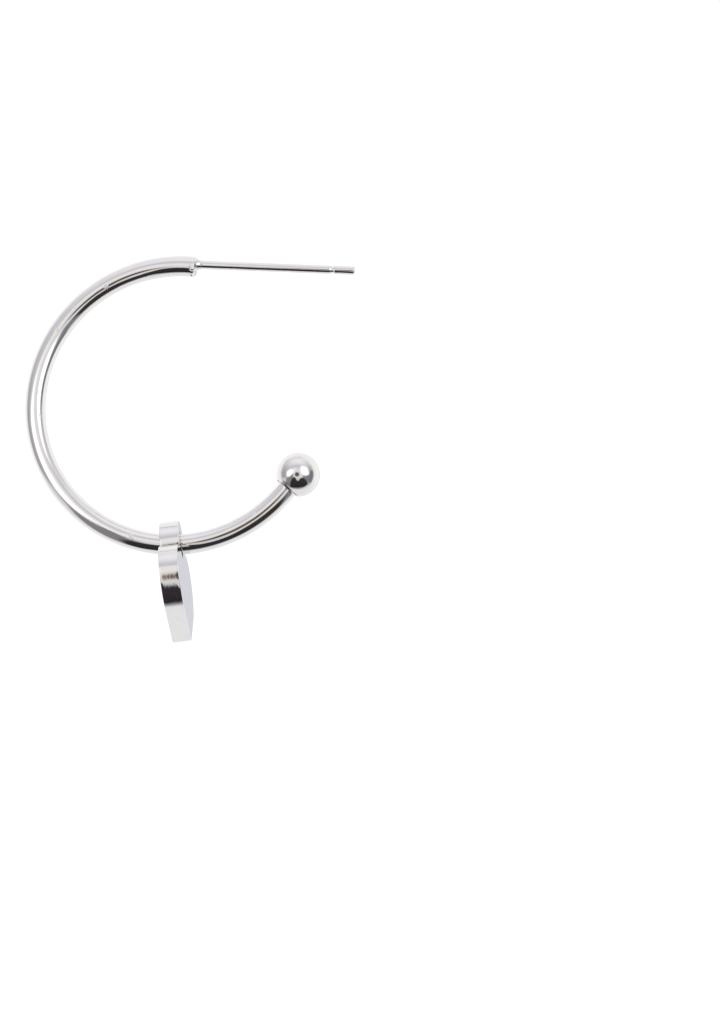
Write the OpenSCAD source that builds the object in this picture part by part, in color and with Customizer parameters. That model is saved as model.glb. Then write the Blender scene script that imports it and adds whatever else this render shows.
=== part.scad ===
// Hoop earring of round polished wire with a post, an end ball and a thick heart charm.
// Millimetres, +Z up. The origin is on the middle of the post, where the ear lobe sits.
// The hoop lies in the XZ plane, the post points along +X and the charm hangs towards -Z.

/* [Post] */
// Diameter of the ear post
post_d = 0.7; // [0.6:0.05:0.9]
// Length of the post, from the wire's end to its tip
post_length = 12.9; // [10.5:0.1:15]
// Angle by which the post dips towards its tip
post_dip = 2.5; // [0:0.5:8]
// Distance from the wire's end to the middle of the lobe
lobe_seat = 3.0; // [2:0.1:4]
// Height of the post's middle over the middle of the wire's end
post_offset = 0.2; // [0:0.02:0.24]
// Distance from the post's tip to the middle of the groove for the ear nut
groove_back = 1.8; // [1.2:0.1:2.5]
// Width of that groove
groove_w = 0.4; // [0.2:0.05:0.6]
// Depth of that groove
groove_depth = 0.07; // [0.03:0.01:0.12]
// Rounding of the post's tip
tip_round = 0.12; // [0.05:0.01:0.2]

/* [Hoop wire] */
// Diameter of the hoop's wire
wire_d = 1.65; // [1.3:0.05:1.8]
// Angle at which the wire climbs away from the post
wire_rise = 6.1; // [0:0.1:12]
// Radius of the hoop's bend, along the middle of the wire
hoop_r = 11.46; // [10.5:0.02:13]
// How far the bend goes on past its lowest point, as an angle
lower_turn = 52.9; // [35:0.1:60]
// Bevel round the wire's end at the post
wire_end_bevel = 0.12; // [0.05:0.01:0.2]
// Diameter of the pin turned on the wire's lower end
tenon_d = 1.2; // [0.8:0.05:1.3]
// Length of that pin
tenon_length = 1.0; // [0.6:0.1:1.4]

/* [Solder] */
// Length of the solder cone from the wire's end along the post
solder_length = 0.3; // [0.15:0.05:0.6]
// Diameter of the small drop of solder under the post
solder_drop_d = 0.5; // [0.4:0.02:0.6]

/* [End ball] */
// Diameter of the ball
ball_d = 3.5; // [3:0.1:5]
// Diameter of the flat mouth that meets the wire
ball_mouth_d = 2.05; // [1.95:0.05:2.6]
// Gap between the wire and the ball, round the pin and at its end
socket_gap = 0.03; // [0.02:0.01:0.06]

/* [Heart charm] */
// Thickness of the charm's plate
charm_t = 1.55; // [1.2:0.05:1.8]
// Diameter of the hole that the wire passes through
charm_hole_d = 2.2; // [2.15:0.05:2.6]
// Width of metal round the hole
charm_eye_wall = 0.85; // [0.6:0.05:1.2]
// Width of the heart
heart_w = 9.4; // [8.6:0.1:10.2]
// Radius of the heart's two lobes
lobe_r = 2.5; // [2.2:0.02:2.7]
// Distance from the middle of the hole down to the middle of the lobes
lobe_drop = 2.9; // [2.4:0.05:3.1]
// Distance from the middle of the lobes down to the heart's point
point_drop = 4.9; // [4.6:0.05:6]
// Angle between the heart's point side and its axis
point_angle = 56; // [53:1:60]
// Angle by which the hanging charm leans along the wire
charm_lean = 7.5; // [0:0.5:10]
// Angle by which the hanging charm is turned about its own long axis
charm_turn = 1.1; // [0:0.1:4]
// Gap between the wire and the top of the hole
hang_gap = 0.03; // [0.02:0.01:0.06]

/* [Hidden] */
$fn = 96;
steel = [0.80, 0.81, 0.83];

wire_r = wire_d / 2;
tenon_r = tenon_d / 2;
post_r = post_d / 2;
ball_r = ball_d / 2;
hole_r = charm_hole_d / 2;
eye_r = hole_r + charm_eye_wall;

// Radius of the groove's round floor, from its width and depth
groove_r = (groove_w * groove_w / 4 + groove_depth * groove_depth) / (2 * groove_depth);

// How far parts of one solid reach into each other
overlap = 0.02;

// Where the post leaves the wire's end, and where the bevel round that end begins
post_root = [-lobe_seat * cos(post_dip), lobe_seat * sin(post_dip)];
bevel_root = post_root - [0, post_offset]
    + wire_end_bevel * [-cos(wire_rise), sin(wire_rise)];

// The wire's middle line is one bend in the XZ plane about the hoop's centre [x, z]. It runs from
// the post over the top, down the side and past the lowest point to the ball.
hoop_centre = bevel_root - hoop_r * [sin(wire_rise), cos(wire_rise)];
hoop_turn = wire_rise + 180 + lower_turn;
lowest = hoop_centre - [0, hoop_r];
wire_stop = hoop_centre + hoop_r * [sin(lower_turn), -cos(lower_turn)];

// The ball's flat mouth lies this far from its middle, and clears the wire's end
mouth_back = sqrt(ball_r * ball_r - ball_mouth_d * ball_mouth_d / 4);
ball_place = wire_stop + (mouth_back + socket_gap) * [cos(lower_turn), sin(lower_turn)];

// The charm hangs at the wire's lowest point, where the wire runs along +X. A leaning plate
// meets the bent wire first at an edge of its hole, which sets how far it hangs down.
lean_share = charm_t / 2 * sin(charm_lean);
bend_share = charm_t * charm_t / (8 * hoop_r);
charm_drop = hole_r - wire_r - lean_share - bend_share - hang_gap;

// The heart's side is one arc from the widest place, which then runs straight into the point.
half_w = heart_w / 2;
side_r = (point_drop * sin(point_angle) - half_w * cos(point_angle)) / (1 - cos(point_angle));
side_middle = half_w - side_r;
side_end = [side_middle + side_r * cos(point_angle), -side_r * sin(point_angle)];

// Places what is made along +Z so that it starts at a point and points along an angle
module along(point, angle) {
    translate([point[0], 0, point[1]])
        rotate([0, 90 - angle, 0])
            children();
}

// The turned post: a rounded tip, and a shallow round groove for the ear nut
module post_shape() {
    difference() {
        rotate_extrude()
            polygon([
                [0, -post_d],
                [post_r, -post_d],
                [post_r, post_length - tip_round],
                for (a = [15:15:75])
                    [post_r - tip_round * (1 - cos(a)), post_length - tip_round * (1 - sin(a))],
                [post_r - tip_round, post_length],
                [0, post_length]
            ]);
        translate([0, 0, post_length - groove_back])
            rotate_extrude()
                translate([post_r - groove_depth + groove_r, 0])
                    circle(r = groove_r);
    }
}

// The hoop's wire with the post soldered to its upper end
module hoop() {
    solder_r = wire_r - post_offset - wire_end_bevel / 2;
    color(steel) {
        translate([hoop_centre[0], 0, hoop_centre[1]])
            rotate([90, 0, 0])
                rotate(90 - wire_rise)
                    rotate_extrude(angle = hoop_turn)
                        translate([hoop_r, 0])
                            circle(r = wire_r);
        along(bevel_root, -wire_rise)
            translate([0, 0, -overlap])
                cylinder(
                    h = wire_end_bevel + overlap,
                    r1 = wire_r - overlap / 2,
                    r2 = wire_r - wire_end_bevel
                );
        along(wire_stop, lower_turn)
            translate([0, 0, -tenon_d / 4])
                cylinder(h = tenon_length + tenon_d / 4, r = tenon_r);
        along(post_root, -post_dip)
            post_shape();
        along(post_root, -post_dip)
            translate([0, 0, -wire_end_bevel])
                cylinder(h = solder_length + wire_end_bevel, r1 = solder_r, r2 = post_r - 0.01);
        along(post_root, -post_dip)
            translate([post_r, 0, solder_length / 2])
                sphere(d = solder_drop_d);
    }
}

// The drilled ball on the wire's lower end
module end_ball() {
    color(steel)
        along(ball_place, lower_turn)
            difference() {
                sphere(r = ball_r);
                translate([0, 0, -mouth_back - ball_r])
                    cylinder(h = ball_r, r = ball_r);
                translate([0, 0, -mouth_back - 1])
                    cylinder(h = tenon_length + 1, r = tenon_r + socket_gap);
            }
}

// The heart's plate with its eye, flat in the XY plane, with the middle of the hole at the origin
module heart_plate() {
    translate([0, 0, -charm_t / 2]) {
        cylinder(h = charm_t, r = eye_r);
        translate([0, -lobe_drop, 0]) {
            for (side = [-1, 1]) {
                translate([side * (half_w - lobe_r), 0, 0])
                    cylinder(h = charm_t, r = lobe_r);
                intersection() {
                    translate([side * side_middle, 0, 0])
                        cylinder(h = charm_t, r = side_r);
                    translate([side > 0 ? -overlap : -half_w, side_end[1], 0])
                        cube([half_w + overlap, -side_end[1], charm_t]);
                }
            }
            linear_extrude(height = charm_t)
                polygon([
                    side_end,
                    [0, -point_drop],
                    [-side_end[0], side_end[1]],
                    [lobe_r - half_w, 0],
                    [0, lobe_drop],
                    [half_w - lobe_r, 0]
                ]);
        }
    }
}

// The charm: one thick plate that leans on the wire as it hangs
module heart_charm() {
    color(steel)
        translate([lowest[0], 0, lowest[1]])
            rotate([0, -charm_lean, 0])
                rotate([0, 0, charm_turn])
                    translate([0, 0, -charm_drop])
                        rotate([90, 0, 90])
                            difference() {
                                heart_plate();
                                cylinder(h = charm_t + 2, r = hole_r, center = true);
                            }
}

hoop();
end_ball();
heart_charm();
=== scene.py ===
import math

import bpy
import numpy as np
from mathutils import Matrix
from mathutils.geometry import tessellate_polygon


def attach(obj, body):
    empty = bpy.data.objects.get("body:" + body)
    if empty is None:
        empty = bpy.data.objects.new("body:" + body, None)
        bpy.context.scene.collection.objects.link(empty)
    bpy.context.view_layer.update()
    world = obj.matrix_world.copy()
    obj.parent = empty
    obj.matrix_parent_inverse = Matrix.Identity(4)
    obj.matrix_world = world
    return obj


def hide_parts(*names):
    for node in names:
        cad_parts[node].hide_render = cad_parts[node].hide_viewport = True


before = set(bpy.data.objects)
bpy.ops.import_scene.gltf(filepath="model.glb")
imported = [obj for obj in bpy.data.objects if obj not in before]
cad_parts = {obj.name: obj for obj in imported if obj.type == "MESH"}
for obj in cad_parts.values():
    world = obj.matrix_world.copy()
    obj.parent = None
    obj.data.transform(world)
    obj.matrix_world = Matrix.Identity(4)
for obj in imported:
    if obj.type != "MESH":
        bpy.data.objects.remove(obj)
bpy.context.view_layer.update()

scene = bpy.context.scene

# Hoop wire
# The real piece is a length of round stainless steel wire, bent round a mandrel into an open
# hoop and polished. Its upper end is bevelled for the post, and its lower end is turned down
# to a pin for the ball. Sizes are in millimetres, and MM makes metres of them.

MM = 0.001
wire_r = 0.825
hoop_r = 11.46
wire_rise = math.radians(6.1)
lower_turn = math.radians(52.9)
bevel = 0.12
pin_r = 0.6
pin_length = 1.0
wire_rings = 520
wire_sides = 80

# The frame's origin is in the ear lobe, on the post. From there the post runs back, climbing, to
# post_root on the wire's bevelled end. Places in the hoop's plane are pairs of x and z.
lobe_seat = 3.0
post_dip = math.radians(2.5)
post_offset = 0.2
post_root = lobe_seat * np.array([-math.cos(post_dip), math.sin(post_dip)])
bevel_root = (
    post_root
    - [0, post_offset]
    + bevel * np.array([-math.cos(wire_rise), math.sin(wire_rise)])
)
hoop_centre = bevel_root - hoop_r * np.array([math.sin(wire_rise), math.cos(wire_rise)])
wire_length = hoop_r * (wire_rise + math.pi + lower_turn)


def closed_skin(rings, first, last, along, around):
    """Joins rings of points, an (n, m, 3) array, into one closed shell with a point at each end.

    Ring i is joined to ring i + 1 by m four-sided faces, and the end rings to first and last by
    m three-sided ones. along (n) and around (m + 1) are the distances in mm that the texture
    coordinates take. Gives the points, both kinds of faces and their texture coordinates.
    """
    n, m, _ = rings.shape
    points = np.concatenate([rings.reshape(-1, 3), [first, last]])
    i, j = (g.ravel() for g in np.meshgrid(np.arange(n - 1), np.arange(m), indexing="ij"))
    k = (j + 1) % m
    quads = np.stack([i * m + j, i * m + k, (i + 1) * m + k, (i + 1) * m + j], -1)
    quad_uv = np.stack(
        [
            np.stack([along[i], around[j]], -1),
            np.stack([along[i], around[j + 1]], -1),
            np.stack([along[i + 1], around[j + 1]], -1),
            np.stack([along[i + 1], around[j]], -1),
        ],
        1,
    )
    j = np.arange(m)
    k = (j + 1) % m
    last_ring = (n - 1) * m
    tris = np.concatenate(
        [
            np.stack([np.full(m, n * m), k, j], -1),
            np.stack([np.full(m, n * m + 1), last_ring + j, last_ring + k], -1),
        ]
    )
    middle = (around[j] + around[j + 1]) / 2
    tri_uv = []
    for row, (a, b) in ((0, (j + 1, j)), (n - 1, (j, j + 1))):
        rim = np.full(m, along[row])
        corners = (middle, around[a], around[b])
        tri_uv.append(np.stack([np.stack([rim, corner], -1) for corner in corners], 1))
    return points, quads, tris, quad_uv, np.concatenate(tri_uv)


def add_piece(name, shells, material):
    """Makes one smooth mesh object, in metres, from closed shells in mm, with faces outward.

    The sign of a shell's volume, summed over its faces, tells whether it is inside out.
    """
    points, faces, uv = [], [], []
    start = 0
    for shell_points, quads, tris, quad_uv, tri_uv in shells:
        a, b, c, d = (shell_points[quads[:, q]] for q in range(4))
        volume = (np.cross(a, b) * c).sum() + (np.cross(a, c) * d).sum()
        a, b, c = (shell_points[tris[:, q]] for q in range(3))
        volume += (np.cross(a, b) * c).sum()
        if volume < 0:
            quads, quad_uv = quads[:, ::-1], quad_uv[:, ::-1]
            tris, tri_uv = tris[:, ::-1], tri_uv[:, ::-1]
        points.append(shell_points)
        faces += (quads + start).tolist() + (tris + start).tolist()
        uv += [quad_uv.reshape(-1, 2), tri_uv.reshape(-1, 2)]
        start += len(shell_points)
    mesh = bpy.data.meshes.new(name)
    mesh.from_pydata((np.concatenate(points) * MM).tolist(), [], faces)
    layer = mesh.uv_layers.new(name="skin")
    layer.data.foreach_set("uv", np.concatenate(uv).ravel())
    mesh.polygons.foreach_set("use_smooth", np.ones(len(mesh.polygons), dtype=bool))
    mesh.materials.append(material)
    mesh.update()
    piece = bpy.data.objects.new(name, mesh)
    scene.collection.objects.link(piece)
    return piece


def steel(name, tone, grain, streak, streak_across, streak_along, scuffs,
          waves=3.0e-6, painted_joint_shade=None, knocks=()):
    """Polished steel: soft dents, fine streaks and scuffs in the bump, and an uneven gloss.

    tone is the colour of the bare steel and grain its roughness. streak is the depth in metres
    of the polishing streaks, streak_across and streak_along how many there are in a millimetre
    round and along the skin, and scuffs the share of the skin that has fine cross scratches.
    waves is the depth in metres of the soft dents. The argument after waves is a patch at a
    joint where dark brown specks are painted in as shade in the gap between the parts: where it
    begins and ends along the skin and, if it doesn't go all the way round, where it begins and
    ends round the skin. knocks are small dull knocks, each a place along and round the skin and a
    size. The places and sizes on the skin are in mm.
    """
    cloud_scale, wear_scale, dent_scale, speck_scale = 900, 420, 330, 2600
    dull_tone = (tone[0] * 0.97, tone[1] * 0.965, tone[2] * 0.955)
    # Painted shade: the dark brown of the specks that stand in for the shadow in the gap at a joint
    painted_shade_tone = (0.075, 0.05, 0.042)
    round_fade = 0.1
    knock_wear = 4.5
    wear_roughness = 0.10
    scratch_depth = 2.5e-6

    material = bpy.data.materials.new(name)
    material.use_nodes = True
    nodes, links = material.node_tree.nodes, material.node_tree.links
    shader = nodes["Principled BSDF"]
    shader.inputs["Metallic"].default_value = 1.0
    place = nodes.new("ShaderNodeTexCoord").outputs["Object"]
    skin_map = nodes.new("ShaderNodeUVMap")
    skin_map.uv_map = "skin"
    skin = skin_map.outputs["UV"]

    def noise(source, scale, detail, rough):
        n = nodes.new("ShaderNodeTexNoise")
        n.inputs["Scale"].default_value = scale
        n.inputs["Detail"].default_value = detail
        n.inputs["Roughness"].default_value = rough
        links.new(source, n.inputs["Vector"])
        return n.outputs["Fac"]

    def spread(source, low, high, to_low, to_high):
        n = nodes.new("ShaderNodeMapRange")
        n.inputs["From Min"].default_value = low
        n.inputs["From Max"].default_value = high
        n.inputs["To Min"].default_value = to_low
        n.inputs["To Max"].default_value = to_high
        links.new(source, n.inputs["Value"])
        return n.outputs["Result"]

    def mapped(setting, value):
        n = nodes.new("ShaderNodeMapping")
        n.inputs[setting].default_value = value
        links.new(skin, n.inputs["Vector"])
        return n.outputs["Vector"]

    def maths(operation, *values):
        n = nodes.new("ShaderNodeMath")
        n.operation = operation
        for socket, value in zip(n.inputs, values):
            if isinstance(value, float):
                socket.default_value = value
            else:
                links.new(value, socket)
        return n.outputs["Value"]

    def mixed(factor, first, second):
        n = nodes.new("ShaderNodeMix")
        n.data_type = "RGBA"
        links.new(factor, n.inputs["Factor"])
        for socket, colour in (("A", first), ("B", second)):
            if isinstance(colour, tuple):
                n.inputs[socket].default_value = (*colour, 1)
            else:
                links.new(colour, n.inputs[socket])
        return n.outputs["Result"]

    def bump(height, distance, below=None):
        n = nodes.new("ShaderNodeBump")
        n.inputs["Distance"].default_value = distance
        links.new(height, n.inputs["Height"])
        if below is not None:
            links.new(below, n.inputs["Normal"])
        return n.outputs["Normal"]

    clouds = spread(noise(place, cloud_scale, 3, 0.6), 0.35, 0.65, 0, 1)
    colour = mixed(clouds, tone, dull_tone)
    # Painted shade: where a patch at a joint is given, noisy specks of that dark brown stand in for
    # the shadow in the gap between the parts
    if painted_joint_shade:
        on_skin = nodes.new("ShaderNodeSeparateXYZ")
        links.new(skin, on_skin.inputs["Vector"])
        painted_shade_specks = spread(noise(place, speck_scale, 2, 0.6), 0.42, 0.5, 0, 1)
        limits = [("X", *painted_joint_shade[:2], (painted_joint_shade[1] - painted_joint_shade[0]) * 0.25)]
        if len(painted_joint_shade) > 2:
            limits.append(("Y", *painted_joint_shade[2:], round_fade))
        for axis, begin, end, fade in limits:
            after = spread(on_skin.outputs[axis], begin, begin + fade, 0, 1)
            before = spread(on_skin.outputs[axis], end - fade, end, 1, 0)
            painted_shade_specks = maths("MULTIPLY", painted_shade_specks, maths("MULTIPLY", after, before))
        colour = mixed(painted_shade_specks, colour, painted_shade_tone)
    links.new(colour, shader.inputs["Base Color"])

    worn = spread(noise(place, wear_scale, 4, 0.6), 0.62 - 0.1 * scuffs, 0.72, 0, 1)
    if knocks:
        ragged = noise(mapped("Scale", (7, 7, 1)), 1.0, 3, 0.7)
        ragged = spread(ragged, 0.3, 0.7, 0.5, 1.9)
    for knock_along, knock_round, size in knocks:
        from_knock = nodes.new("ShaderNodeVectorMath")
        from_knock.operation = "LENGTH"
        links.new(mapped("Location", (-knock_along, -knock_round, 0)), from_knock.inputs[0])
        distance = maths("MULTIPLY", from_knock.outputs["Value"], ragged)
        knock = spread(distance, size * 0.6, size, knock_wear, 0)
        worn = maths("MAXIMUM", knock, worn)
    fine = noise(mapped("Scale", (streak_along, streak_across, 1)), 1.0, 3, 0.65)
    polish = spread(fine, 0.3, 0.7, grain * 0.6, grain * 1.5)
    links.new(maths("MULTIPLY_ADD", worn, wear_roughness, polish), shader.inputs["Roughness"])

    dented = bump(noise(place, dent_scale, 1, 0.4), waves)
    streaked = bump(fine, streak, dented)
    scratches = maths("MULTIPLY", noise(mapped("Scale", (9, 3, 1)), 1.0, 2, 0.5), worn)
    links.new(bump(scratches, scratch_depth, streaked), shader.inputs["Normal"])
    return material


def hoop_line(s):
    """Middle line of the wire: an arc about hoop_centre with straight ends past both of its ends.

    s is the distance in mm from the bevelled end. Gives the point, the outward direction in the
    hoop's plane and the direction along the wire, each as x and z.
    """
    inside = np.clip(s, 0, wire_length)
    angle = math.pi / 2 - wire_rise + inside / hoop_r
    out = np.stack([np.cos(angle), np.sin(angle)], -1)
    forward = np.stack([-np.sin(angle), np.cos(angle)], -1)
    return hoop_centre + hoop_r * out + (s - inside)[:, None] * forward, out, forward


def wire_shell(profile):
    """Surface of a round profile carried along hoop_line.

    profile holds the distance s along the wire and the radius there. The point at s and at
    angle a round the wire is the line's point at s, plus the radius times cos(a) outward in the
    hoop's plane and times sin(a) along y.
    """
    point, out, _ = hoop_line(profile[:, 0])
    radius = profile[:, 1][:, None]
    a = np.linspace(0, 2 * math.pi, wire_sides, endpoint=False)
    in_plane = point[:, None, :] + (radius * np.cos(a))[..., None] * out[:, None, :]
    rings = np.stack([in_plane[..., 0], radius * np.sin(a), in_plane[..., 1]], -1)
    ends = [np.array([x, 0, z]) for x, z in (point[0], point[-1])]
    around = wire_r * np.linspace(0, 2 * math.pi, wire_sides + 1)
    return closed_skin(rings, *ends, profile[:, 0], around)


# Distance along the wire and radius, ring by ring: the bevelled end at the post, the bent wire,
# and, counted from the wire's lower end, the small fillet against the ball and the pin in it
bevel_rings = [
    [-bevel, 0.2], [-bevel, 0.62], [-bevel, 0.685], [-bevel + 0.006, 0.708],
    [-bevel + 0.025, 0.728], [-0.03, 0.797], [-0.005, 0.815], [0.02, 0.823],
]
bent_rings = np.stack(
    [np.linspace(0.05, wire_length - 0.08, wire_rings), np.full(wire_rings, wire_r)], -1
)
fillet_rings = [
    [-0.055, 0.828], [-0.03, 0.838], [-0.008, 0.86], [0.008, 0.893],
    [0.015, 0.90], [0.018, 0.89], [0.018, 0.74],
]
pin_rings = [
    [0.018, pin_r + 0.02], [0.035, pin_r], [pin_length - 0.08, pin_r],
    [pin_length - 0.03, 0.58], [pin_length, 0.53], [pin_length, 0.2],
]
lower_end = np.array(fillet_rings + pin_rings) + [wire_length, 0]
hoop_steel = steel(
    "hoop_polished_steel", (0.74, 0.735, 0.735), 0.055, 1.5e-6, 14, 0.5, 0.9,
    # Painted shade: dark specks on the lower front of the wire just past its bevelled end, in the
    # gap at the post joint
    painted_joint_shade=(0.10, 0.24, 2.5, 3.5),
    knocks=[(0.3, 3.72, 0.2), (7.5, 3.66, 0.26), (10.6, 3.98, 0.2), (12.9, 3.84, 0.28),
            (20.3, 3.35, 0.2), (33.9, 3.85, 0.3), (44.5, 3.6, 0.18)],
)
hoop_wire = add_piece(
    "hoop_wire", [wire_shell(np.concatenate([bevel_rings, bent_rings, lower_end]))], hoop_steel
)
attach(hoop_wire, "earring")
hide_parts("hoop")

# Ear post with its solder
# The real piece is a straight drawn pin with a rounded tip and one shallow groove that the ear
# nut's arms click into. It is butt-soldered to the wire's end, which leaves a thin cone of
# solder round it, a small bead underneath and a second one on the front of the wire's end.

post_r = 0.35
post_length = 12.9
post_sides = 64
tip_round = 0.12
groove_back = 1.8
groove_w = 0.4
groove_depth = 0.07
solder_length = 0.3
solder_r = 0.56
solder_most_r = 0.62
solder_runout = 0.25  # how far the thin end of the solder runs on along the post
solder_back = 0.16  # how far the solder reaches back over the wire's end
solder_hollow = 2.2  # the power that hollows the cone
bead_r = 0.22
bead_sunk = 0.12
front_bead_r = 0.24
front_bead_place = np.array([-0.27, -0.48])  # x and z from post_root
front_bead_y = -0.62


def turned(profile, root, angle, sides, y=0.0):
    """Surface of a profile turned about an axis that lies along the hoop's plane.

    profile holds the distance t along the axis and the radius there. The axis starts at root, x
    and z, at the given y, and climbs by angle from the x direction. The point at t and at angle
    a is the axis's point at t, plus the radius times cos(a) upward and times sin(a) to the front.
    """
    axis = np.array([math.cos(angle), 0, math.sin(angle)])
    upward = np.array([-math.sin(angle), 0, math.cos(angle)])
    to_front = np.array([0, -1.0, 0])
    start = np.array([root[0], y, root[1]])
    a = np.linspace(0, 2 * math.pi, sides, endpoint=False)
    t, r = profile[:, 0], profile[:, 1]
    spoke = np.cos(a)[:, None] * upward + np.sin(a)[:, None] * to_front
    rings = start + t[:, None, None] * axis + r[:, None, None] * spoke
    along = np.concatenate([[0], np.cumsum(np.hypot(np.diff(t), np.diff(r)))])
    around = max(r) * np.linspace(0, 2 * math.pi, sides + 1)
    return closed_skin(rings, start + t[0] * axis, start + t[-1] * axis, along, around)


def solder_bead(r, root, angle, y=0.0):
    """A ball of radius r about root, as a half circle turned about an axis at that angle."""
    a = np.radians(np.linspace(8, 172, 22))
    return turned(np.stack([-r * np.cos(a), r * np.sin(a)], -1), root, angle, 32, y)


# The solder thins from solder_r to the post's own radius as a power of what is left of its
# length. The groove is a parabola across groove_w, and the tip a quarter circle.
solder_end = solder_length + solder_runout
solder_t = np.linspace(-solder_back, solder_end, 20)
solder = post_r + (solder_r - post_r) * ((solder_end - solder_t) / solder_end) ** solder_hollow
solder = np.minimum(solder, solder_most_r)
groove_at = post_length - groove_back
groove_t = np.linspace(-groove_w / 2, groove_w / 2, 13)
groove = post_r - groove_depth * (1 - (2 * groove_t / groove_w) ** 2)
groove_side = groove_w / 2 + 0.02
shaft_t = np.linspace(solder_end + 0.05, groove_at - groove_side, 60)
tip = np.radians(np.linspace(0, 90, 9))
tip_t = post_length - tip_round * (1 - np.sin(tip))
tip_r = post_r - tip_round * (1 - np.cos(tip))
post_profile = np.concatenate(
    [
        [[-0.2, 0.1], [-0.2, 0.4]],
        np.stack([solder_t, solder], -1),
        np.stack([shaft_t, np.full(len(shaft_t), post_r)], -1),
        np.stack([groove_at + groove_t, groove], -1),
        [[groove_at + groove_side, post_r], [post_length - tip_round - 0.3, post_r]],
        np.stack([tip_t, tip_r], -1),
        [[post_length, post_r - tip_round - 0.02], [post_length, 0.05]],
    ]
)
bead_root = (
    post_root
    + solder_length / 2 * np.array([math.cos(post_dip), -math.sin(post_dip)])
    - (post_r - bead_sunk) * np.array([math.sin(post_dip), math.cos(post_dip)])
)
post_steel = steel("post_polished_steel", (0.74, 0.735, 0.73), 0.07, 0.6e-6, 16, 0.8, 0.6)
ear_post = add_piece(
    "ear_post",
    [
        turned(post_profile, post_root, -post_dip, post_sides),
        solder_bead(bead_r, bead_root, -post_dip),
        solder_bead(front_bead_r, post_root + front_bead_place, -wire_rise, front_bead_y),
    ],
    post_steel,
)
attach(ear_post, "earring")
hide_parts("hoop")

# End ball
# The real piece is a bright steel bead, drilled on one side and pressed on the wire's pin. A
# small flat mouth is turned round the hole, against the wire's shoulder.

ball_r = 1.75
mouth_r = 1.025
socket_r = 0.63
socket_depth = 1.0
socket_gap = 0.03
lip = 0.05
ball_rings = 120
ball_sides = 128
pole_gap = 0.03  # in radians, at the mouth's edge and at the far pole

mouth_back = math.sqrt(ball_r**2 - mouth_r**2)
socket_floor = socket_depth - mouth_back
wire_end, _, wire_way = (rows[0] for rows in hoop_line(np.array([wire_length])))
ball_root = wire_end + (mouth_back + socket_gap) * wire_way
ball_angle = np.linspace(
    math.acos(mouth_back / ball_r) + pole_gap, math.pi - pole_gap, ball_rings
)
# Distance from the ball's middle and radius: the socket's floor and wall, its countersink, the
# flat mouth with its rounded lip, and the sphere
ball_profile = np.concatenate(
    [
        [[socket_floor, 0.15], [socket_floor, socket_r - 0.04]],
        [[socket_floor - 0.04, socket_r], [-mouth_back + 0.05, socket_r]],
        [[-mouth_back + 0.015, socket_r + 0.012], [-mouth_back, socket_r + 0.04]],
        [[-mouth_back, mouth_r - lip - 0.02], [-mouth_back + 0.004, mouth_r - lip * 0.55]],
        [[-mouth_back + 0.018, mouth_r - lip * 0.1]],
        np.stack([-ball_r * np.cos(ball_angle), ball_r * np.sin(ball_angle)], -1),
    ]
)
ball_steel = steel(
    "ball_polished_steel", (0.74, 0.735, 0.73), 0.09, 1.8e-6, 9, 0.9, 1.2, 7.0e-6,
    # Painted shade: dark specks over the flat mouth and its lip, in the gap where the ball meets the
    # wire
    painted_joint_shade=(1.5, 1.96),
)
ball_bead = add_piece(
    "ball_bead",
    [turned(ball_profile, ball_root, math.atan2(wire_way[1], wire_way[0]), ball_sides)],
    ball_steel,
)
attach(ball_bead, "earring")
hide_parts("end_ball")

# Heart charm
# The real piece is a thick heart with a round eye, cut from one ground steel plate. Its edges
# were broken by tumbling, which also left the cut sides a little wavy and streaked.

charm_t = 1.55
hole_r = 1.1
eye_r = 1.95
heart_w = 9.4
lobe_r = 2.5
lobe_drop = 2.9
point_drop = 4.9
point_angle = math.radians(56)
charm_lean = math.radians(7.5)
charm_turn = math.radians(1.1)
hang_gap = 0.03
edge_r = 0.05
outline_points = 420
grind_along, grind_across = 0.4, 1.3  # how far the face's streaks are drawn out and packed

# A leaning plate meets the bent wire first at an edge of its hole
lean_share = charm_t / 2 * math.sin(charm_lean)
bend_share = charm_t**2 / 8 / hoop_r
charm_drop = hole_r - wire_r - lean_share - bend_share - hang_gap


def heart_outline(count):
    """Points of the plate's outline, evenly spaced and starting at the heart's point.

    Each side runs straight off the point, up the side's arc, round the lobe and then over the
    eye, whose circle the lobe's circle meets. The left side mirrors the right one. Gives the
    points and the outline's length.
    """
    half = heart_w / 2
    side_r = point_drop * math.sin(point_angle) - half * math.cos(point_angle)
    side_r /= 1 - math.cos(point_angle)
    lobe = np.array([half - lobe_r, -lobe_drop])
    gap = math.hypot(*lobe)
    share = (eye_r**2 - lobe_r**2 + gap**2) / (2 * gap)
    aside = math.sqrt(eye_r**2 - share**2)
    meet = (lobe * share + np.array([-lobe[1], lobe[0]]) * aside) / gap
    a = np.linspace(-point_angle, 0, 200)
    arc = np.stack([half - side_r + side_r * np.cos(a), side_r * np.sin(a) - lobe_drop], -1)
    a = np.linspace(0, math.atan2(meet[1] - lobe[1], meet[0] - lobe[0]), 200)
    top = lobe + lobe_r * np.stack([np.cos(a), np.sin(a)], -1)
    a = np.linspace(math.atan2(meet[1], meet[0]), math.pi / 2, 120)
    eye = eye_r * np.stack([np.cos(a), np.sin(a)], -1)
    right_side = np.concatenate([[[0, -lobe_drop - point_drop]], arc, top[1:], eye[1:]])
    line = np.concatenate([right_side, right_side[-2:0:-1] * [-1, 1], right_side[:1]])
    run = np.concatenate([[0], np.cumsum(np.hypot(*np.diff(line, axis=0).T))])
    even = np.linspace(0, run[-1], count, endpoint=False)
    spaced = np.stack([np.interp(even, run, line[:, 0]), np.interp(even, run, line[:, 1])], -1)
    return spaced, run[-1]


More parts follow.
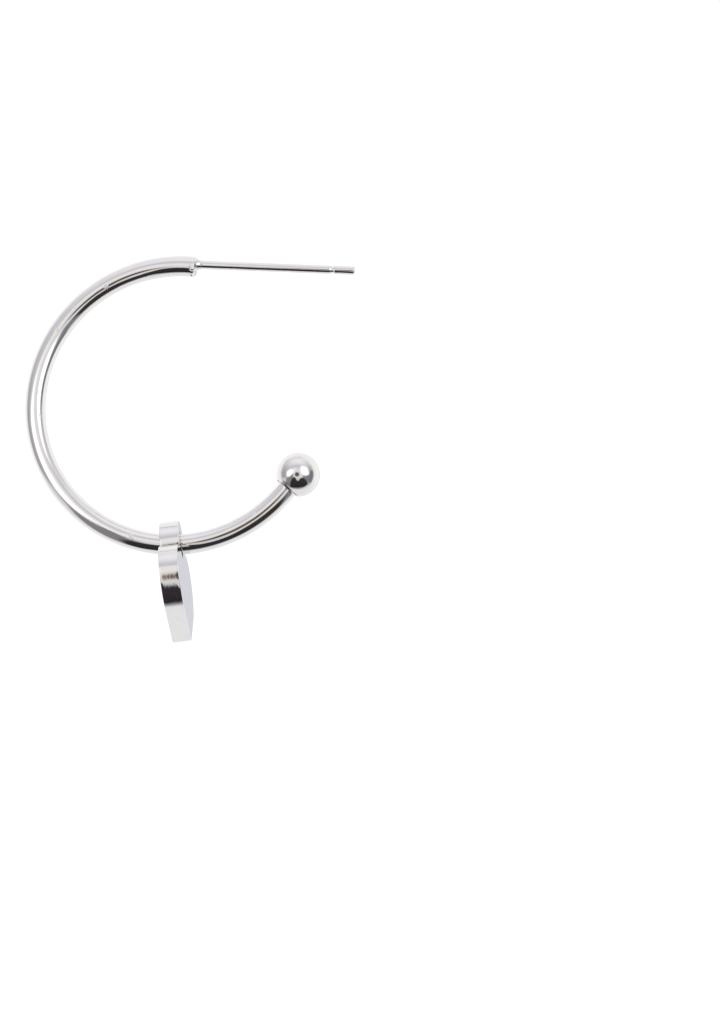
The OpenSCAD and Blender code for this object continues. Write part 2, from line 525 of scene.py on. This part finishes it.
outline, outline_length = heart_outline(outline_points)
smooth = outline.copy()
for _ in range(3):
    smooth = (np.roll(smooth, 1, 0) + 2 * smooth + np.roll(smooth, -1, 0)) / 4
tangent = np.roll(smooth, -1, 0) - np.roll(smooth, 1, 0)
inward = np.stack([-tangent[:, 1], tangent[:, 0]], -1)
inward /= np.linalg.norm(inward, axis=1)[:, None]
bearing = np.linspace(-math.pi / 2, 1.5 * math.pi, outline_points, endpoint=False)
hole_way = np.stack([np.cos(bearing), np.sin(bearing)], -1)

# Across the section: out over the front's broken edge, along the rim, back over the back's
# edge, in to the hole, through it and out over its edge. Each row is how far inward from the
# outline, or outward from the hole's wall, and the height over the plate's middle.
half_t = charm_t / 2
edge_angle = np.radians(np.linspace(0, 90, 7))
edge_in, edge_down = edge_r * (1 - np.cos(edge_angle)), edge_r * (1 - np.sin(edge_angle))
flat_from = edge_r + 0.012
wall_top = half_t - edge_r - 0.01
front_edge = [("rim", flat_from, half_t)]
front_edge += [("rim", x, half_t - z) for x, z in zip(edge_in[::-1], edge_down[::-1])]
hole_edge = [("hole", x, half_t - z) for x, z in zip(edge_in, edge_down)]
hole_edge += [("hole", flat_from, half_t)]
section = (
    front_edge
    + [("rim", 0.0, z) for z in np.linspace(1, -1, 9)[1:-1] * wall_top]
    + [(kind, x, -z) for kind, x, z in front_edge[::-1]]
    + [(kind, x, -z) for kind, x, z in hole_edge[::-1]]
    + [("hole", 0.0, z) for z in np.linspace(-1, 1, 5)[1:-1] * wall_top]
    + hole_edge
)
plate = []
for kind, inset, height in section:
    line = outline + inset * inward if kind == "rim" else (hole_r + inset) * hole_way
    plate.append(np.column_stack([line, np.full(outline_points, height)]))
plate = np.array(plate)


def hung(points):
    """Hangs the plate on the wire's lowest point.

    The plate's own x is the frame's y, its own y is up and its height over the middle is along
    the wire. It turns by charm_turn about its long axis, drops by charm_drop until its hole
    rests on the wire, and leans by charm_lean about the wire's lowest point.
    """
    ct, st = math.cos(charm_turn), math.sin(charm_turn)
    cl, sl = math.cos(charm_lean), math.sin(charm_lean)
    y = points[..., 0] * ct + points[..., 2] * st
    up = points[..., 1] - charm_drop
    forward = points[..., 2] * ct - points[..., 0] * st
    lowest = hoop_centre - [0, hoop_r]
    return np.stack([lowest[0] + forward * cl - up * sl, y, lowest[1] + forward * sl + up * cl], -1)


def flat_face(outer, inner, upward):
    """Triangles between two rows of the plate, the outline's `outer` and the hole's `inner`.

    upward is 1 for the front face and -1 for the back one. The faces were ground up and down
    before the plate was cut, so their texture coordinates are the plate's own y and x.
    """
    rows = np.concatenate([row * outline_points + np.arange(outline_points)
                           for row in (outer, inner)])
    flat = np.concatenate([plate[outer], plate[inner]])[:, :2]
    loops = [[(x, y, 0) for x, y in plate[row][:, :2]] for row in (outer, inner)]
    fill = np.array(tessellate_polygon(loops))
    a, b, c = (flat[fill[:, q]] for q in range(3))
    area = (b - a)[:, 0] * (c - a)[:, 1] - (b - a)[:, 1] * (c - a)[:, 0]
    fill = np.where((area * upward > 0)[:, None], fill, fill[:, ::-1])
    return rows[fill], flat[fill][..., [1, 0]] * (grind_along, grind_across)


# The rows are joined by four-sided faces, but for the gap from the rim to the hole at the back,
# after back_row, which a flat face fills, as one does at the front
kinds = [kind for kind, _, _ in section]
back_row = kinds.index("hole") - 1
joined = np.delete(np.arange(len(section) - 1), back_row)
i, j = (g.ravel() for g in np.meshgrid(joined, np.arange(outline_points), indexing="ij"))
k = (j + 1) % outline_points
rim_quads = np.stack(
    [
        i * outline_points + j,
        (i + 1) * outline_points + j,
        (i + 1) * outline_points + k,
        i * outline_points + k,
    ],
    -1,
)
steps = [abs(b[1] - a[1]) + abs(b[2] - a[2]) for a, b in zip(section, section[1:])]
over_section = np.concatenate([[0], np.cumsum(steps)])
round_outline = np.linspace(0, outline_length, outline_points + 1)
rim_uv = np.stack(
    [
        np.stack([round_outline[j], over_section[i]], -1),
        np.stack([round_outline[j], over_section[i + 1]], -1),
        np.stack([round_outline[j + 1], over_section[i + 1]], -1),
        np.stack([round_outline[j + 1], over_section[i]], -1),
    ],
    1,
)
faces = [flat_face(back_row, back_row + 1, -1), flat_face(0, len(section) - 1, 1)]
face_tris, face_uv = (np.concatenate(part) for part in zip(*faces))
charm_steel = steel(
    "charm_tumbled_steel", (0.74, 0.735, 0.735), 0.06, 4.2e-6, 4.4, 2.4, 0.6, 5.0e-6
)
heart_plate = add_piece(
    "heart_plate",
    [(hung(plate).reshape(-1, 3), rim_quads, face_tris, rim_uv, face_uv)],
    charm_steel,
)
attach(heart_plate, "charm")
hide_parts("heart_charm")

# Camera
# It looks at the hoop's plane a little from the right and from below, from 376 mm away, turned
# by a small angle about its own line of sight. 81.34 mm of height fill the 720 by 1020 frame.

azimuth, elevation, roll = math.radians(6), math.radians(-11), math.radians(1.2)
away = 0.376
frame_height = 0.08134
sensor = 36
aim = np.array([0.010716, 0, -0.020074])
back = np.array([
    math.sin(azimuth) * math.cos(elevation),
    -math.cos(azimuth) * math.cos(elevation),
    math.sin(elevation),
])
level = np.array([math.cos(azimuth), math.sin(azimuth), 0])
right = level * math.cos(roll) + np.cross(back, level) * math.sin(roll)
up = np.cross(back, right)
camera_data = bpy.data.cameras.new("camera")
camera = bpy.data.objects.new("camera", camera_data)
scene.collection.objects.link(camera)
camera_data.sensor_width = sensor
camera_data.lens = sensor * away / frame_height
camera_data.clip_start = 0.01
camera_data.clip_end = 10
turned_to = np.eye(4)
turned_to[:3, 0], turned_to[:3, 1], turned_to[:3, 2] = right, up, back
turned_to[:3, 3] = aim + away * back
camera.matrix_world = Matrix(turned_to.tolist())
scene.camera = camera

# Studio
# A white room with a pale floor far below. Round the earring stands a light grey tent with two
# square soft lamps beside the lens, a dark table edge under it and the round front of the lens,
# all of which the polished steel mirrors. Distances are in metres and angles in degrees.

room_light = 1.12
tent_r = 0.50
grey_r = 0.150
paper_r = 0.146
table_r = 0.142
glow_r = 0.132
lamp_r = 0.130
lens_r = 0.105

world = bpy.data.worlds.new("white_room")
scene.world = world
world.use_nodes = True
world.node_tree.nodes["Background"].inputs["Color"].default_value = (1, 1, 1, 1)
world.node_tree.nodes["Background"].inputs["Strength"].default_value = room_light
scene.view_settings.view_transform = "Standard"

ball_middle = np.array([ball_root[0], 0, ball_root[1]]) * MM


def facing(bearings, heights):
    """Directions from the ball: degrees to the right of the line to the camera and above it."""
    a, e = np.radians(bearings), np.radians(heights)
    return (
        (np.sin(a) * np.cos(e))[..., None] * right
        + np.sin(e)[..., None] * up
        + (np.cos(a) * np.cos(e))[..., None] * back
    )


def card(name, radius, ways, light, cover=None):
    """A curved card on a sphere about the ball, that only the steel's reflections see.

    A corner is the ball's middle plus radius times its direction. ways are the (n, m)
    directions, light the (n, m, 3) light that it gives, and cover the (n, m) share of it that
    isn't clear, for soft edges.
    """
    n, m, _ = ways.shape
    i, j = (g.ravel() for g in np.meshgrid(np.arange(n - 1), np.arange(m - 1), indexing="ij"))
    quads = np.stack([i * m + j, (i + 1) * m + j, (i + 1) * m + j + 1, i * m + j + 1], -1)
    mesh = bpy.data.meshes.new(name)
    mesh.from_pydata((ball_middle + radius * ways).reshape(-1, 3).tolist(), [], quads.tolist())
    if cover is None:
        cover = np.ones((n, m))
    layer = mesh.color_attributes.new("light", "FLOAT_COLOR", "POINT")
    layer.data.foreach_set("color", np.concatenate([light, cover[..., None]], -1).ravel())
    material = bpy.data.materials.new(name)
    material.use_nodes = True
    nodes, links = material.node_tree.nodes, material.node_tree.links
    nodes.clear()
    output = nodes.new("ShaderNodeOutputMaterial")
    shine = nodes.new("ShaderNodeEmission")
    clear = nodes.new("ShaderNodeBsdfTransparent")
    fade = nodes.new("ShaderNodeMixShader")
    seen = nodes.new("ShaderNodeAttribute")
    seen.attribute_name = "light"
    links.new(seen.outputs["Color"], shine.inputs["Color"])
    links.new(seen.outputs["Alpha"], fade.inputs["Fac"])
    links.new(clear.outputs["BSDF"], fade.inputs[1])
    links.new(shine.outputs["Emission"], fade.inputs[2])
    links.new(fade.outputs["Shader"], output.inputs["Surface"])
    material.cycles.emission_sampling = "NONE"
    mesh.materials.append(material)
    thing = bpy.data.objects.new(name, mesh)
    scene.collection.objects.link(thing)
    thing.visible_camera = False
    thing.visible_shadow = False


def eased(x):
    """Rises from 0 to 1 as three times x squared less twice x cubed, level at both ends."""
    x = np.clip(x, 0, 1)
    return x * x * (3 - 2 * x)


def soft_card(name, radius, edges, soft, colour, right_colour=None, low_colour=None):
    """A card between an upper and a lower edge line, that fades in over `soft` degrees.

    edges holds rows of bearing, lower edge and upper edge, with straight lines between. The
    colour runs to right_colour from left to right, and to low_colour near the lower edge.
    """
    edges = np.array(edges, float)
    n = 81
    bearings = np.linspace(edges[0, 0], edges[-1, 0], n)
    low, high = (np.interp(bearings, edges[:, 0], edges[:, q]) for q in (1, 2))
    share_up = np.linspace(0, 1, n)[:, None]
    heights = low + (high - low) * share_up
    side_gap = np.minimum(bearings - bearings[0], bearings[-1] - bearings)
    side_gap = side_gap * np.cos(np.radians(heights))
    cover = eased(np.minimum(np.minimum(heights - low, high - heights), side_gap) / soft)
    left_end = np.array(colour, float)
    right_end = left_end if right_colour is None else np.array(right_colour, float)
    light = left_end + (right_end - left_end) * np.linspace(0, 1, n)[None, :, None]
    if low_colour is not None:
        light = light + (np.array(low_colour, float) - light) * (1 - share_up)[..., None] ** 2
    ways = facing(np.broadcast_to(bearings, (n, n)), heights)
    card(name, radius, ways, np.broadcast_to(light, (n, n, 3)), cover)


# How bright the tent is, by the angle from the line to the lens, towards its four sides. Up to
# 97 degrees it is the tent's front, and past that the white sheet behind the earring.
tent_light = np.array([
    # angle  up   right down  left
    [0.0, 0.86, 0.88, 0.84, 0.92],
    [20.0, 0.92, 0.94, 0.84, 0.96],
    [34.0, 0.90, 0.92, 0.80, 0.92],
    [42.0, 0.74, 0.80, 0.60, 0.80],
    [50.0, 0.80, 0.70, 0.52, 0.66],
    [58.0, 0.96, 0.62, 0.46, 0.58],
    [68.0, 1.12, 0.56, 0.42, 0.50],
    [80.0, 1.16, 0.42, 0.36, 0.44],
    [84.0, 1.12, 0.46, 0.82, 0.48],
    [91.0, 1.10, 0.62, 1.06, 0.62],
    [95.0, 0.97, 0.74, 0.98, 0.74],
    [100.0, 1.10, 1.06, 1.06, 1.06],
    [106.0, 1.14, 1.18, 1.03, 1.15],
    [115.0, 1.09, 1.12, 0.99, 1.13],
    [122.0, 1.14, 1.20, 1.04, 1.19],
    [140.0, 1.14, 1.20, 1.08, 1.20],
    [158.0, 1.04, 1.08, 1.03, 1.08],
    [168.0, 0.84, 0.80, 0.82, 0.84],
    [180.0, 0.80, 0.76, 0.78, 0.78],
])
front_end = 97
lens_bearing, lens_height = -5.0, 1.5
to_lens = facing(np.array([lens_bearing]), np.array([lens_height]))[0]
tent_right = right - to_lens * (right @ to_lens)
tent_right /= np.linalg.norm(tent_right)
tent_up = np.cross(to_lens, tent_right)
from_lens, round_lens = np.meshgrid(
    np.concatenate([np.linspace(0.5, 94, 70), np.linspace(95, 99, 13), np.linspace(100, 179.5, 60)]),
    np.linspace(0, 360, 121),
    indexing="ij",
)
rightward, upward = np.cos(np.radians(round_lens)), np.sin(np.radians(round_lens))
four_tones = [np.interp(from_lens, tent_light[:, 0], tent_light[:, q]) for q in (1, 2, 3, 4)]
four_shares = [np.clip(w, 0, 1) ** 2 for w in (upward, rightward, -upward, -rightward)]
tent_tone = sum(share * tone for share, tone in zip(four_shares, four_tones))

# The sheet far behind is a little lilac, and so are the tent's front and upper left
behind = np.clip((from_lens - 150) / 15, 0, 1)
front = np.clip((front_end - from_lens) / 4, 0, 1)
upper_left = np.clip(0.4 + upward - 0.4 * rightward, 0, 1)
lilac = front * np.clip((from_lens - 30) / 15, 0, 1) * upper_left
tent_tint = np.stack(
    [1 - 0.07 * behind, 1 - 0.05 * behind - 0.02 * lilac, 1 + 0.01 * behind + 0.035 * lilac], -1
)
tent_ways = (
    (np.sin(np.radians(from_lens)) * rightward)[..., None] * tent_right
    + (np.sin(np.radians(from_lens)) * upward)[..., None] * tent_up
    + np.cos(np.radians(from_lens))[..., None] * to_lens
)
card("tent", tent_r, tent_ways, tent_tone[..., None] * tent_tint)

soft_card(
    "grey_left", grey_r,
    [[-92, -50, -10], [-74, -54, -5], [-52, -50, -7], [-41, -44, 0], [-34, -40, 8],
     [-27, -35, 14], [-21, -30, 4]],
    9, (0.31, 0.30, 0.325), (0.28, 0.26, 0.28),
)
soft_card(
    "grey_right", grey_r,
    [[22, -30, 2], [60, -36, 4], [74, -38, 24], [92, -38, 18]],
    9, (0.30, 0.305, 0.345), (0.21, 0.215, 0.25),
)
soft_card(
    "left_paper", paper_r,
    [[-108, -60, -8], [-92, -56, -7], [-80, -34, -8], [-70, -27, -6], [-62, -15, -4]],
    8, (0.96, 0.96, 0.96), (0.74, 0.74, 0.76),
)
soft_card(
    "dark_table", table_r,
    [[-82, -62, -55], [-74, -66, -50], [-59, -70, -42], [-45, -74, -30], [-37, -75, -21],
     [-31, -76, -13], [-22, -76, -8], [-15, -77, -9], [-8, -77, -23], [-1, -77, -28],
     [5, -77, -26], [11, -76, -17], [19, -75, -11], [28, -74, -11], [38, -72, -16],
     [46, -70, -22], [56, -66, -27], [66, -58, -34], [75, -50, -42]],
    8, (0.030, 0.029, 0.042), (0.056, 0.043, 0.034), (0.020, 0.020, 0.034),
)
soft_card(
    "left_lamp", lamp_r,
    [[-67, -8, 14], [-58, -15, 24], [-48, -14, 31], [-41, -12, 33], [-34, -6, 33],
     [-28, 2, 32], [-20, 8, 24]],
    14, (1.75, 1.74, 1.70),
)
soft_card(
    "left_glow", glow_r, [[-36, 2, 38], [-24, 4, 40], [-5, 8, 38]], 11, (1.06, 1.03, 1.03)
)
soft_card(
    "right_lamp", lamp_r,
    [[9, 12, 36], [18, 1, 47], [30, -8, 51], [43, -11, 48], [55, -6, 41], [65, 4, 31]],
    14, (1.8, 1.8, 1.8),
)

# The lens mirrors as a brown disc with a light ring that fades out
disc_edge = 10.5
ring_edge = 19.0
ring_fade = 5
lens_off, lens_turn = np.meshgrid(np.linspace(0.05, ring_edge, 61), np.linspace(0, 360, 73))
lens_tone = np.interp(
    lens_off,
    [0, 6, disc_edge - 1, disc_edge + 2, 15, ring_edge],
    [0.15, 0.10, 0.12, 0.70, 0.90, 0.92],
)
brown = np.interp(lens_off, [0, disc_edge, 13, ring_edge], [0.16, 0.14, 0.05, 0.02])
lens_light = lens_tone[..., None] * np.stack([1 + brown, 1 - brown * 0.1, 1 - brown], -1)
lens_ways = facing(
    lens_bearing + lens_off * np.cos(np.radians(lens_turn)),
    lens_height + lens_off * np.sin(np.radians(lens_turn)),
)
card("lens_front", lens_r, lens_ways, lens_light, eased((ring_edge - lens_off) / ring_fade))

floor_z = -1.1
half_floor = 4.0
floor_corners = [(-1, -1), (1, -1), (1, 1), (-1, 1)]
floor_mesh = bpy.data.meshes.new("floor")
floor_mesh.from_pydata(
    [(x * half_floor, y * half_floor, floor_z) for x, y in floor_corners], [], [(0, 1, 2, 3)]
)
floor_material = bpy.data.materials.new("pale_floor")
floor_material.use_nodes = True
floor_tree = floor_material.node_tree
floor_shader = floor_tree.nodes["Principled BSDF"]
floor_shader.inputs["Roughness"].default_value = 0.9
floor_speck = floor_tree.nodes.new("ShaderNodeTexNoise")
floor_speck.inputs["Scale"].default_value = 30
floor_tint = floor_tree.nodes.new("ShaderNodeMix")
floor_tint.data_type = "RGBA"
floor_tint.inputs["A"].default_value = (0.86, 0.86, 0.86, 1)
floor_tint.inputs["B"].default_value = (0.90, 0.90, 0.90, 1)
floor_tree.links.new(floor_speck.outputs["Fac"], floor_tint.inputs["Factor"])
floor_tree.links.new(floor_tint.outputs["Result"], floor_shader.inputs["Base Color"])
floor_mesh.materials.append(floor_material)
floor = bpy.data.objects.new("floor", floor_mesh)
scene.collection.objects.link(floor)
